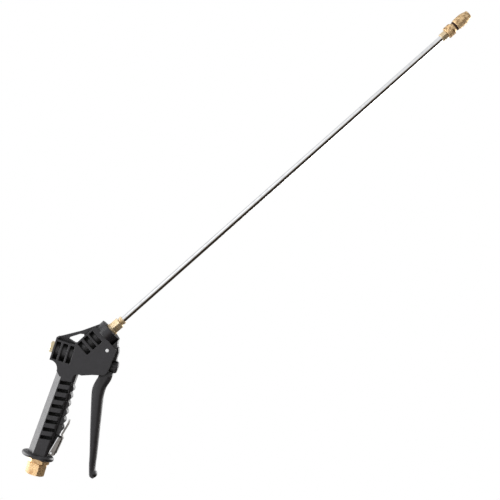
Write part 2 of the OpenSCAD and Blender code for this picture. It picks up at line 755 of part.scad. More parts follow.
module inlet_fitting() color(brass) along(mouth_p, inlet_a) difference() {
    union() {
        rod(tail_s, nut_len, tail_r);
        hexagon(nut_len + swivel_gap, guard_s, collar_af, across = false);
        rod(nut_len, guard_s + stub_len, stub_d / 2 - 2.4);
        rod(guard_s - 1, guard_s + stub_len, stub_d / 2);
    }
    rod(tail_s - 1, guard_s + stub_len + 1, inlet_bore / 2);
    ring(clip_s, clip_s + 1, tail_r + 1, tail_r - 0.8);
    ring(guard_s + 1, guard_s + 3, stub_d / 2 + 1, stub_d / 2 - 1.5);
}

module inlet_o_ring() color(rubber) along(mouth_p, inlet_a)
    o_ring(guard_s + 2, stub_d / 2 - 1.5 + snug, 1.5 - 2 * snug);

module swivel_clip() color(steel) along(mouth_p, inlet_a) difference() {
    ring(clip_s + snug, clip_s + 1 - snug, tail_r + 1, tail_r - 0.8 + snug);
    translate([0, -1.5, clip_s - 1]) cube([20, 3, 3]);
}

module swivel_nut() color(brass) along(mouth_p, inlet_a) difference() {
    rotate(nut_turn) hexagon(0, nut_len, nut_af);
    rod(-1, thread_depth, nut_bore / 2);
    rod(thread_depth, shelf_s, relief_r);
    rod(thread_depth, nut_len + 1, tail_r + fit);
}

module hose_washer() color(rubber) along(mouth_p, inlet_a)
    ring(thread_depth, tail_s, relief_r - face_gap, inlet_bore / 2 + 0.5);

// ---- Lance ----

nut_s = outlet_collar_t;
nut_end_s = nut_s + lance_nut_len;
olive_s = nut_s + 9.2;
groove_len = 2;
end_collar_len = 3.9;

module outlet_fitting() color(brass) along(nose_p, lance_a) difference() {
    union() {
        rod(-outlet_socket, 0.5, outlet_thread_d / 2);
        rod(0, outlet_collar_t, outlet_collar_d / 2);
        rod(0, olive_s, outlet_thread_d / 2 - 0.8);
    }
    rod(-outlet_socket - 1, olive_s + 1, outlet_bore / 2);
    rod(tube_start - 0.2, olive_s + 1, tube_d / 2 + fit);
    ring(-2.6, -0.6, outlet_thread_d / 2 + 1, outlet_thread_d / 2 - 1.5);
}

module outlet_o_ring() color(rubber) along(nose_p, lance_a)
    o_ring(-1.6, outlet_thread_d / 2 - 1.5 + snug, 1.5 - 2 * snug);

module lance_nut() color(brass) along(nose_p, lance_a) difference() {
    union() {
        hexagon(nut_s, nut_end_s, lance_nut_af);
        rod(nut_end_s - 1, nut_end_s + groove_len, 5);
        rod(nut_end_s + groove_len, nut_end_s + groove_len + end_collar_len, nut_end_d / 2);
    }
    rod(nut_s - 1, olive_s + 2.4, outlet_thread_d / 2 - 0.8 + fit);
    rod(nut_s, nut_end_s + groove_len + end_collar_len + 1, tube_d / 2 + fit);
}

module lance_olive() color(brass) along(nose_p, lance_a) difference() {
    rotate_extrude() polygon([[0, olive_s + 0.1], [tube_d / 2 + 0.6, olive_s + 0.1],
        [outlet_thread_d / 2 - 1, olive_s + 1.4], [outlet_thread_d / 2 - 1, olive_s + 2.3],
        [0, olive_s + 2.3]]);
    rod(olive_s - 1, olive_s + 4, tube_d / 2 + snug);
}

module lance_tube() color(steel) along(nose_p, lance_a)
    ring(tube_start, tube_start + tube_len, tube_d / 2, tube_d / 2 - tube_wall);

// ---- Nozzle ----

socket_len = 8.5;
end_s = tube_start + tube_len - socket_len;
ring_s = end_s + end_len + 1;
neck_s = ring_s + ring_len;
neck_len = 3.4;
seal_len = 2.6;
seal_r = 7.15;
nozzle_cap_s = neck_s + neck_len + seal_len;
tip_s = nozzle_cap_s + cap_len;
spigot_r = 5.2;
spigot_len = 10;
bore_r = 3.1;
stub_r = 4.6;
stub_in = 7;
disc_r = 3.6;
disc_back = 1.8;

module lance_end() color(brass) along(nose_p, lance_a) difference() {
    union() {
        hexagon(end_s, end_s + end_len, end_af);
        rod(end_s + end_len - 1, ring_s + stub_in, stub_r);
    }
    rod(end_s - 1, end_s + socket_len + snug, tube_d / 2 + snug);
    rod(end_s, ring_s + stub_in + 1, bore_r);
}

// The nozzle body's turned outline: ridged ring, neck and threaded spigot
module nozzle_body() color(brass) along(nose_p, lance_a) difference() {
    union() {
        rod(ring_s, neck_s, ring_d / 2 - 0.8);
        for (i = [0:4]) {
            s = ring_s + i * ring_len / 5;
            rod(s, s + ring_len / 5 - 0.6, ring_d / 2);
        }
        translate([0, 0, neck_s]) cylinder(r1 = ring_d / 2 - 1, r2 = 6, h = neck_len);
        rod(neck_s, nozzle_cap_s + spigot_len, spigot_r);
    }
    rod(ring_s - 1, ring_s + stub_in + snug, stub_r + snug);
    rod(ring_s, nozzle_cap_s + spigot_len + 1, bore_r);
}

module nozzle_core() color(brass) along(nose_p, lance_a) difference() {
    union() {
        rod(nozzle_cap_s + 2, nozzle_cap_s + 15, bore_r - snug);
        translate([0, 0, nozzle_cap_s + 15]) cylinder(r1 = bore_r - snug, r2 = 0.8, h = 3);
    }
    for (i = [0:2]) rotate(i * 120) translate([bore_r, 0, nozzle_cap_s + 1])
        cylinder(r = 1, h = 18, $fn = 24);
}

module nozzle_o_ring() color(rubber) along(nose_p, lance_a)
    translate([0, 0, neck_s + neck_len + seal_len / 2]) rotate_extrude() difference() {
        translate([seal_r - seal_len / 2, 0]) circle(r = seal_len / 2 - 0.05, $fn = 24);
        translate([0, -2]) square([spigot_r + snug, 4]);
    }

module spray_disc() color(brass) along(nose_p, lance_a)
    ring(tip_s - disc_back, tip_s - 0.6, disc_r, spray_d / 2);

// The turned and knurled cap, widest at its middle, with its spray opening
module nozzle_cap() color(brass) along(nose_p, lance_a) difference() {
    rotate_extrude() polygon([[0, nozzle_cap_s], [cap_wide_d / 2 - 0.9, nozzle_cap_s],
        [cap_wide_d / 2 - 0.2, nozzle_cap_s + 3], [cap_wide_d / 2, nozzle_cap_s + 7],
        [cap_wide_d / 2, nozzle_cap_s + 12], [cap_wide_d / 2 - 0.5, nozzle_cap_s + 16],
        [cap_tip_d / 2 + 0.5, tip_s - 1.5], [cap_tip_d / 2, tip_s], [0, tip_s]]);
    rod(nozzle_cap_s - 1, nozzle_cap_s + spigot_len + 3, spigot_r + fit);
    rod(nozzle_cap_s, tip_s - disc_back + snug, bore_r + 0.4);
    rod(tip_s - disc_back - snug, tip_s + 1, disc_r + fit);
}

body();
rear_cap();
cap_washer();
valve_spring();
valve_poppet();
poppet_seal();
valve_seat();
seat_o_ring();
valve_stem();
stem_guide();
stem_o_ring();
trigger();
trigger_pin();
flow_screw();
flow_knob();
trigger_lock();
lock_pin();
inlet_fitting();
inlet_o_ring();
swivel_clip();
swivel_nut();
hose_washer();
outlet_fitting();
outlet_o_ring();
lance_nut();
lance_olive();
lance_tube();
lance_end();
nozzle_body();
nozzle_core();
nozzle_o_ring();
spray_disc();
nozzle_cap();
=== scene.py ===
"""Looks of a hand-held spray gun: moulded handle, brass fittings, steel lance and nozzle.

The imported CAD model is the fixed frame. Lengths are in metres, in the frame of the CAD: the
origin is the centre of the swivel nut's mouth, +X runs towards the nozzle and +Z is up.
"""

import json
import logging
import math
from dataclasses import dataclass
from enum import Enum

import bmesh
import bpy
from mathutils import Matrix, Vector

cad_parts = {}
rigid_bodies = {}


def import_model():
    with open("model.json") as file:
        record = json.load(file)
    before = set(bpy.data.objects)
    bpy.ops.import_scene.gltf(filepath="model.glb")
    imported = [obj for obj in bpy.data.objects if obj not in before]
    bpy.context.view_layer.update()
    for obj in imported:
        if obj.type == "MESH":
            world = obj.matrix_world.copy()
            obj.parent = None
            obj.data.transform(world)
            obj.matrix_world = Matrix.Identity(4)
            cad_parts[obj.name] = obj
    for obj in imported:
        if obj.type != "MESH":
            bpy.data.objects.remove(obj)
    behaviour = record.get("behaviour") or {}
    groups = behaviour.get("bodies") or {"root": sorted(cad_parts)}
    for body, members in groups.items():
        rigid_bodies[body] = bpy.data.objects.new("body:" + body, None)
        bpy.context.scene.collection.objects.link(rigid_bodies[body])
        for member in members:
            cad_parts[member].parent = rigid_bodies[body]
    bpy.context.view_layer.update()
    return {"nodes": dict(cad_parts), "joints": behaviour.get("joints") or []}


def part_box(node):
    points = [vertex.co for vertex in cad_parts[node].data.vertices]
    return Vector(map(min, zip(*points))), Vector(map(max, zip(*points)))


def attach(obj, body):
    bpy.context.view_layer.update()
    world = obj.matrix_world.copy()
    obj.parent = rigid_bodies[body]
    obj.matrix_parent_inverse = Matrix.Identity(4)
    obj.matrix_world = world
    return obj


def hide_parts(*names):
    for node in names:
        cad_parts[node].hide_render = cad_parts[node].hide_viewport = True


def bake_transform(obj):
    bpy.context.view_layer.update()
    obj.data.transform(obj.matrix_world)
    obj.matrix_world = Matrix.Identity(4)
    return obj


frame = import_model()

log = logging.getLogger("spray_gun")

MM = 0.001
# A vertex nearer than this to a level, a plane or a radius lies on it.
CLOSE = 0.01 * MM
WHITE = (1.0, 1.0, 1.0, 1.0)
BLACK = (0.0, 0.0, 0.0, 1.0)
# Nearly all values of a noise texture lie between these two.
NOISE_LOW, NOISE_HIGH = 0.3, 0.7


# ---- Small helpers ----


def linear(hex_colour: str) -> tuple[float, float, float, float]:
    """Turn an sRGB hex colour into linear red, green, blue and alpha.

    Args:
        hex_colour: Six hex digits after a hash sign.

    Returns:
        The colour that a shader socket takes.
    """
    digits = hex_colour.lstrip("#")
    parts = [int(digits[i:i + 2], 16) / 255 for i in (0, 2, 4)]
    bent = [p / 12.92 if p <= 0.04045 else ((p + 0.055) / 1.055) ** 2.4 for p in parts]
    return (*bent, 1.0)


def add_node(tree: bpy.types.NodeTree, kind: str, links: dict | None = None,
             **settings) -> bpy.types.Node:
    """Add one node with its settings, socket values and links.

    Args:
        tree: The node tree that takes the node.
        kind: The node's type, without the leading "ShaderNode".
        links: Input name or index to an output socket or a plain value.
        settings: Properties of the node itself.

    Returns:
        The new node.
    """
    node = tree.nodes.new("ShaderNode" + kind)
    for key, value in settings.items():
        setattr(node, key, value)
    for key, value in (links or {}).items():
        if isinstance(value, bpy.types.NodeSocket):
            tree.links.new(value, node.inputs[key])
        else:
            node.inputs[key].default_value = value
    return node


def joint(name: str) -> dict:
    """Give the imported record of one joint."""
    return next(j for j in frame["joints"] if j["name"] == name)


def select_only(obj: bpy.types.Object) -> None:
    """Deselect everything, then select one object and make it active.

    Args:
        obj: The object to select.
    """
    for other in bpy.context.view_layer.objects:
        other.select_set(False)
    obj.select_set(True)
    bpy.context.view_layer.objects.active = obj


def rename(obj: bpy.types.Object, name: str) -> bpy.types.Object:
    """Name an object and its mesh, and give the object back."""
    obj.name = obj.data.name = name
    return obj


# ---- Places taken from the frame ----


@dataclass(frozen=True)
class Axis:
    """A line in the side view that round pieces are built around.

    Attributes:
        start: A point on the line, in metres.
        along: The line's direction.
    """

    start: Vector
    along: Vector

    def at(self, distance: float) -> Vector:
        """Give the point that lies a distance along the line."""
        return self.start + self.along * distance

    def moved(self, distance: float) -> "Axis":
        """Give the same line with its start moved along it."""
        return Axis(self.at(distance), self.along)

    def angle(self) -> float:
        """Give the turn about +Y, in radians, that carries +Z onto the line."""
        return math.atan2(self.along.x, self.along.z)


def axis_of(name: str) -> Axis:
    """Make the axis of a joint, through the joint's own place."""
    row = joint(name)
    return Axis(Vector(row["pos_m"]), Vector(row["axis"]).normalized())


LANCE = axis_of("cap_turn")
INLET = axis_of("swivel_turn")
VALVE = axis_of("knob_turn")


def reach(node: str, axis: Axis) -> tuple[float, float]:
    """Give a CAD node's least and greatest distance along an axis, from the axis' start."""
    spans = [(v.co - axis.start).dot(axis.along) for v in frame["nodes"][node].data.vertices]
    return min(spans), max(spans)


# ---- Finishes ----


class Pattern(Enum):
    """How a surface was made, which sets the direction of its fine marks."""

    CAST = "no direction"
    TURNED = "rings around the axis"
    DRAWN = "lines along the axis"


@dataclass(frozen=True)
class Finish:
    """What every finish holds.

    Attributes:
        name: The material's name.
        colour: Its main sRGB colour.
        roughness: The roughness of its middle tone.
    """

    name: str
    colour: str
    roughness: float

    def start(self) -> tuple[bpy.types.Material, bpy.types.NodeTree, bpy.types.Node]:
        """Make an empty node material with its shader.

        Returns:
            The material, its node tree and its Principled shader.
        """
        material = bpy.data.materials.new(self.name)
        material.use_nodes = True
        tree = material.node_tree
        tree.nodes.clear()
        shader = add_node(tree, "BsdfPrincipled")
        add_node(tree, "OutputMaterial", {"Surface": shader.outputs[0]})
        return material, tree, shader


@dataclass(frozen=True)
class MouldedNylon(Finish):
    """Glass-filled nylon as moulded: spark-eroded grain, slightly mottled gloss.

    The grain is drawn a few times coarser than the real 0.2 mm, which wouldn't show.

    Attributes:
        recess_shade_colour: The sRGB colour of the painted shade in grooves, where the grain is
            also coarse and matte.
        recess_mm: How near a facing wall makes a groove.
        matte: The roughness of the coarsest grain, in grooves and on the collar's face.
        mottle_mm: The size of the patches in its gloss.
        grain_mm: The size of the grain.
        grain_depth_mm: The depth of the grain.
        grain_strength: How much of that depth its bumps have.
        edge_mm: The radius that the mould gives every outer edge.
        refraction: The nylon's index of refraction.
        collar: The lance's axis from the nose's front face, where the collar is polished.
        collar_length: The collar's length, in metres.
        collar_roughness: The roughness of the polished collar.
    """

    recess_shade_colour: str = "#060606"
    recess_mm: float = 9.0
    matte: float = 0.95
    mottle_mm: float = 9.0
    grain_mm: float = 0.7
    grain_depth_mm: float = 0.03
    grain_strength: float = 0.35
    edge_mm: float = 0.9
    refraction: float = 1.53
    collar: Axis | None = None
    collar_length: float = 0.0
    collar_roughness: float = 0.3

    def build(self) -> bpy.types.Material:
        """Make the material: black nylon with a fine grain, dull in its recesses and darkened
        there with painted shade.

        Returns:
            The material.
        """
        material, tree, shader = self.start()
        place = add_node(tree, "TexCoord").outputs["Object"]
        mottle = add_node(tree, "TexNoise", {"Vector": place, "Scale": 1 / (self.mottle_mm * MM),
                                             "Detail": 4.0, "Roughness": 0.6})
        openness = add_node(tree, "AmbientOcclusion", {"Distance": self.recess_mm * MM},
                            samples=12)
        bare = add_node(tree, "MapRange", {"Value": openness.outputs["AO"], "From Min": 0.45,
                                           "From Max": 0.85}).outputs["Result"]
        tone = add_node(tree, "ValToRGB", {"Fac": mottle.outputs["Fac"]})
        dark, light = tone.color_ramp.elements
        dark.position, light.position = 0.35, 0.7
        dark.color = linear(self.colour)
        light.color = [c * 1.35 for c in linear(self.colour)[:3]] + [1.0]
        # Painted shade: near a facing wall the colour darkens to recess_shade_colour.
        mixed = add_node(tree, "MixRGB", {"Fac": bare, "Color1": linear(self.recess_shade_colour),
                                          "Color2": tone.outputs["Color"]})
        tree.links.new(mixed.outputs["Color"], shader.inputs["Base Color"])
        grain = add_node(tree, "TexNoise", {"Vector": place, "Scale": 1 / (self.grain_mm * MM),
                                            "Detail": 2.0, "Roughness": 0.55})
        gloss = add_node(tree, "MapRange", {"Value": mottle.outputs["Fac"],
                                            "From Min": NOISE_LOW, "From Max": NOISE_HIGH,
                                            "To Min": self.roughness - 0.05,
                                            "To Max": self.roughness + 0.06})
        dull = add_node(tree, "Mix", {"Factor": bare, "A": self.matte,
                                      "B": gloss.outputs["Result"]})
        rough, strength = dull.outputs["Result"], self.grain_strength
        if self.collar:
            rough, strength = self.polish_collar(tree, place, rough)
        edges = add_node(tree, "Bevel", {"Radius": self.edge_mm * MM}, samples=6)
        bump = add_node(tree, "Bump", {"Height": grain.outputs["Fac"], "Strength": strength,
                                       "Distance": self.grain_depth_mm * MM,
                                       "Normal": edges.outputs["Normal"]})
        tree.links.new(bump.outputs["Normal"], shader.inputs["Normal"])
        tree.links.new(rough, shader.inputs["Roughness"])
        shader.inputs["IOR"].default_value = self.refraction
        return material

    def polish_collar(self, tree: bpy.types.NodeTree, place: bpy.types.NodeSocket,
                      rough: bpy.types.NodeSocket
                      ) -> tuple[bpy.types.NodeSocket, bpy.types.NodeSocket]:
        """Polish the round collar at the nose, where the mould is turned and not eroded.

        Args:
            tree: The material's node tree.
            place: Object coordinates.
            rough: The roughness of the grained surface.

        Returns:
            The sockets of the final roughness and of the bump's strength.
        """
        offset = add_node(tree, "VectorMath", {0: place, 1: self.collar.start},
                          operation="SUBTRACT")
        depth = add_node(tree, "VectorMath", {0: offset.outputs["Vector"], 1: self.collar.along},
                         operation="DOT_PRODUCT")
        inside = add_node(tree, "MapRange", {"Value": depth.outputs["Value"],
                                             "From Min": -self.collar_length - 0.2 * MM,
                                             "From Max": -self.collar_length + 0.2 * MM})
        face = add_node(tree, "MapRange", {"Value": depth.outputs["Value"],
                                           "From Min": -0.5 * MM, "From Max": -0.1 * MM,
                                           "To Min": self.collar_roughness,
                                           "To Max": self.matte})
        mixed = add_node(tree, "Mix", {"Factor": inside.outputs["Result"], "A": rough,
                                       "B": face.outputs["Result"]})
        strength = add_node(tree, "Mix", {"Factor": inside.outputs["Result"],
                                          "A": self.grain_strength, "B": 0.0})
        return mixed.outputs["Result"], strength.outputs["Result"]


@dataclass(frozen=True)
class Metal(Finish):
    """A bare metal with fine tool marks and a little tarnish.

    The marks are drawn a few times coarser than the real 0.1 mm, which wouldn't show.

    Attributes:
        stain: The sRGB colour of its handled, darker places.
        pattern: How its surface was made.
        axis: The line that its marks follow.
        mark_mm: The spacing of its marks.
        mark_length: How many spacings a mark is long.
        depth_mm: The depth of its marks.
        edge_mm: The radius of its worn edges.
        stain_mm: The size of its stains.
        stained_share: How much of it is stained.
        oxide: How metallic its stained places still are, where 1 is bare metal.
    """

    stain: str
    pattern: Pattern = Pattern.CAST
    axis: Axis | None = None
    mark_mm: float = 0.5
    mark_length: float = 40.0
    depth_mm: float = 0.01
    edge_mm: float = 0.25
    stain_mm: float = 7.0
    stained_share: float = 0.39
    oxide: float = 1.0

    def build(self) -> bpy.types.Material:
        """Make the material: metallic, marked along or around its axis.

        Returns:
            The material.
        """
        material, tree, shader = self.start()
        place = add_node(tree, "TexCoord").outputs["Object"]
        if self.axis:
            laid = add_node(tree, "Mapping", {"Vector": place, "Location": self.axis.start,
                                              "Rotation": (0.0, self.axis.angle(), 0.0)},
                            vector_type="TEXTURE")
            place = laid.outputs["Vector"]
        marks = self.tool_marks(tree, place)
        stains = add_node(tree, "TexNoise", {"Vector": place, "Scale": 1 / (self.stain_mm * MM),
                                             "Detail": 5.0, "Roughness": 0.65})
        tone = add_node(tree, "ValToRGB", {"Fac": stains.outputs["Fac"]})
        dark, light = tone.color_ramp.elements
        dark.position, light.position = self.stained_share - 0.1, self.stained_share + 0.1
        dark.color, light.color = linear(self.stain), linear(self.colour)
        tree.links.new(tone.outputs["Color"], shader.inputs["Base Color"])
        rough = add_node(tree, "MapRange", {"Value": marks, "From Min": NOISE_LOW,
                                            "From Max": NOISE_HIGH,
                                            "To Min": self.roughness - 0.05,
                                            "To Max": self.roughness + 0.09})
        tree.links.new(rough.outputs["Result"], shader.inputs["Roughness"])
        edges = add_node(tree, "Bevel", {"Radius": self.edge_mm * MM}, samples=6)
        bump = add_node(tree, "Bump", {"Height": marks, "Strength": 0.3,
                                       "Distance": self.depth_mm * MM,
                                       "Normal": edges.outputs["Normal"]})
        tree.links.new(bump.outputs["Normal"], shader.inputs["Normal"])
        if self.oxide == 1:
            shader.inputs["Metallic"].default_value = self.oxide
            return material
        bare = add_node(tree, "MapRange", {"Value": stains.outputs["Fac"],
                                           "From Min": self.stained_share - 0.1,
                                           "From Max": self.stained_share + 0.15,
                                           "To Min": self.oxide,
                                           "To Max": (1 + self.oxide) / 2})
        tree.links.new(bare.outputs["Result"], shader.inputs["Metallic"])
        return material

    def tool_marks(self, tree: bpy.types.NodeTree,
                   place: bpy.types.NodeSocket) -> bpy.types.NodeSocket:
        """Draw the marks that the making left, stretched along or around the axis.

        Args:
            tree: The material's node tree.
            place: Object coordinates, turned so that Z runs along the axis.

        Returns:
            The socket of the marks' height.
        """
        fine = 1 / (self.mark_mm * MM)
        coarse = fine / self.mark_length
        stretch = {Pattern.CAST: (fine, fine, fine), Pattern.TURNED: (coarse, coarse, fine),
                   Pattern.DRAWN: (fine, fine, coarse)}[self.pattern]
        scaled = add_node(tree, "Mapping", {"Vector": place, "Scale": stretch})
        marks = add_node(tree, "TexNoise", {"Vector": scaled.outputs["Vector"], "Scale": 1.0,
                                            "Detail": 3.0, "Roughness": 0.6})
        return marks.outputs["Fac"]


@dataclass(frozen=True)
class Rubber(Finish):
    """Fluoro rubber as moulded: dark brown, matte, faintly bloomed.

    Attributes:
        bloom_colour: The sRGB colour of the bloom.
        bloom_mm: The size of the bloom's patches.
        grain_mm: The size of the grain.
        grain_depth_mm: The depth of the grain.
        refraction: The rubber's index of refraction.
    """

    bloom_colour: str = "#3a1c0c"
    bloom_mm: float = 3.0
    grain_mm: float = 0.3
    grain_depth_mm: float = 0.02
    refraction: float = 1.52

    def build(self) -> bpy.types.Material:
        """Make the material: dark brown with a paler bloom in patches.

        Returns:
            The material.
        """
        material, tree, shader = self.start()
        place = add_node(tree, "TexCoord").outputs["Object"]
        bloom = add_node(tree, "TexNoise", {"Vector": place, "Scale": 1 / (self.bloom_mm * MM),
                                            "Detail": 3.0})
        tone = add_node(tree, "ValToRGB", {"Fac": bloom.outputs["Fac"]})
        dark, light = tone.color_ramp.elements
        dark.color, light.color = linear(self.colour), linear(self.bloom_colour)
        tree.links.new(tone.outputs["Color"], shader.inputs["Base Color"])
        grain = add_node(tree, "TexNoise", {"Vector": place, "Scale": 1 / (self.grain_mm * MM)})
        bump = add_node(tree, "Bump", {"Height": grain.outputs["Fac"], "Strength": 0.3,
                                       "Distance": self.grain_depth_mm * MM})
        tree.links.new(bump.outputs["Normal"], shader.inputs["Normal"])
        shader.inputs["Roughness"].default_value = self.roughness
        shader.inputs["IOR"].default_value = self.refraction
        return material


@dataclass(frozen=True)
class Finishes:
    """The materials that the gun's pieces take."""

    nylon: bpy.types.Material
    lever_nylon: bpy.types.Material
    lance_brass: bpy.types.Material
    nozzle_brass: bpy.types.Material
    inlet_brass: bpy.types.Material
    valve_brass: bpy.types.Material
    stainless: bpy.types.Material
    zinc: bpy.types.Material
    sheet: bpy.types.Material
    rubber: bpy.types.Material


# ---- Building pieces ----


@dataclass
class Assembly:
    """A sub-assembly: its sizes, and the methods that build and dress it.

    Attributes:
        merge_distance: How near two vertices of a CAD copy are to become one.
        flat_deg: The bend, in degrees, up to which two faces of a CAD copy become one.
    """

    merge_distance: float = 0.002 * MM
    flat_deg: float = 0.4

    def build(self, finishes: Finishes) -> None:
        """Build the new pieces and dress the CAD nodes."""
        raise NotImplementedError

    def dress(self, material: bpy.types.Material, *names: str) -> None:
        """Give CAD nodes their material.

        Args:
            material: The finish that they take.
            names: The CAD nodes.
        """
        for name in names:
            mesh = frame["nodes"][name].data
            mesh.materials.clear()
            mesh.materials.append(material)
            log.info("node %s takes %s", name, material.name)

    def copy_of(self, node: str, name: str) -> bpy.types.Object:
        """Copy a CAD node as a merged mesh that can be shaped further.

        Args:
            node: The CAD node to copy.
            name: The new piece's name.

        Returns:
            The new object, in object mode.
        """
        obj = bpy.data.objects.new(name, frame["nodes"][node].data.copy())
        bpy.context.collection.objects.link(obj)
        rename(obj, name)
        select_only(obj)
        bpy.ops.object.mode_set(mode="EDIT")
        bpy.ops.mesh.select_all(action="SELECT")
        bpy.ops.mesh.remove_doubles(threshold=self.merge_distance)
        bpy.ops.mesh.customdata_custom_splitnormals_clear()
        bpy.ops.mesh.dissolve_limited(angle_limit=math.radians(self.flat_deg))
        bpy.ops.mesh.select_all(action="DESELECT")
        bpy.ops.object.mode_set(mode="OBJECT")
        return obj

    def finish(self, obj: bpy.types.Object, body: str | None, slot: str,
               material: bpy.types.Material, *replaced: str, smooth_deg: float = 32) -> None:
        """Shade a new piece, give it its material, hang it on its body and hide the CAD nodes it
        stands for.

        Args:
            obj: The new piece.
            body: The body that it moves with, or None to leave it on no body.
            slot: The material slot that it takes its finish from; not used.
            material: Its finish.
            replaced: The CAD nodes that it stands for.
            smooth_deg: The angle up to which its faces are shaded as one.
        """
        select_only(obj)
        bpy.ops.object.shade_smooth_by_angle(angle=math.radians(smooth_deg))
        obj.data.materials.clear()
        obj.data.materials.append(material)
        if body:
            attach(obj, body)
        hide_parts(*replaced)
        log.info("piece %s rides on %s", obj.name, body or "two bodies")


def turned(name: str, rows: list[tuple[float, float]], sides: int = 96) -> bpy.types.Object:
    """Turn a closed solid around +Z from rows of height and radius.

    The first and the last row are closed with a flat face, so a first row inside the solid
    leaves a blind hole.

    Args:
        name: The new piece's name.
        rows: Height and radius of each row, in millimetres, from the first face to the last.
        sides: The number of vertices around.

    Returns:
        The new object, in object mode.
    """
    height, radius = rows[0]
    bpy.ops.mesh.primitive_circle_add(vertices=sides, radius=radius * MM, fill_type="NGON")
    solid = rename(bpy.context.object, name)
    bpy.ops.object.mode_set(mode="EDIT")
    bpy.ops.mesh.select_all(action="SELECT")
    bpy.ops.transform.translate(value=(0, 0, height * MM))
    for next_height, next_radius in rows[1:]:
        bpy.ops.mesh.extrude_region_move()
        bpy.ops.transform.translate(value=(0, 0, (next_height - height) * MM))
        if next_radius != radius:
            ratio = next_radius / radius
            bpy.ops.transform.resize(value=(ratio, ratio, 1), center_override=(0, 0, 0))
        height, radius = next_height, next_radius
    bpy.ops.mesh.select_all(action="SELECT")
    bpy.ops.mesh.normals_make_consistent(inside=False)
    bpy.ops.object.mode_set(mode="OBJECT")
    return solid


def knurl(solid: bpy.types.Object, heights: list[float], depth: float, pitch: int = 4) -> None:
    """Press a diamond pattern into the outer rows of a turned solid.

    Args:
        solid: The turned solid, still around +Z.
        heights: The heights of the knurled rows, in millimetres.
        depth: How deep every second field lies, in millimetres.
        pitch: The number of vertices from one diamond to the next.
    """
    select_only(solid)
    bpy.ops.object.mode_set(mode="EDIT")
    for row, height in enumerate(heights):
        bpy.ops.mesh.select_all(action="DESELECT")
        mesh = bmesh.from_edit_mesh(solid.data)
        level = [v for v in mesh.verts if abs(v.co.z - height * MM) < CLOSE]
        outer = max(v.co.xy.length for v in level)
        rim = sorted((v for v in level if v.co.xy.length > outer - CLOSE),
                     key=lambda v: math.atan2(v.co.y, v.co.x))
        for place, vertex in enumerate(rim):
            vertex.select = (place + row * pitch // 2) % pitch < pitch // 2
        bmesh.update_edit_mesh(solid.data)
        ratio = 1 - depth * MM / outer
        bpy.ops.transform.resize(value=(ratio, ratio, 1), center_override=(0, 0, height * MM))
    bpy.ops.object.mode_set(mode="OBJECT")


def lay_along(solid: bpy.types.Object, axis: Axis) -> None:
    """Move a solid's mesh from +Z at the origin onto an axis; the object stays at the origin.

    Args:
        solid: The turned solid.
        axis: The line that it is laid on, from the line's start.
    """
    select_only(solid)
    bpy.ops.object.mode_set(mode="EDIT")
    bpy.ops.mesh.select_all(action="SELECT")
    bpy.ops.transform.rotate(value=-axis.angle(), orient_axis="Y", center_override=(0, 0, 0))
    bpy.ops.transform.translate(value=axis.start)
    bpy.ops.object.mode_set(mode="OBJECT")


# ---- Sub-assemblies ----


@dataclass
class Handle(Assembly):
    """The moulded handle with its grip, guard, valve housing, collar and strap.

    Attributes:
        collar_length: The length of the round collar at the nose.
        fitting_stand: How far the outlet fitting stands out of the nose.
    """

    collar_length: float = 12.4 * MM
    fitting_stand: float = 12.0 * MM

    def collar(self) -> Axis:
        """Give the lance's axis from the nose's front face."""
        return LANCE.moved(reach("outlet_fitting", LANCE)[1] - self.fitting_stand)

    def build(self, finishes: Finishes) -> None:
        """Dress the handle's moulding."""
        self.dress(finishes.nylon, "body")


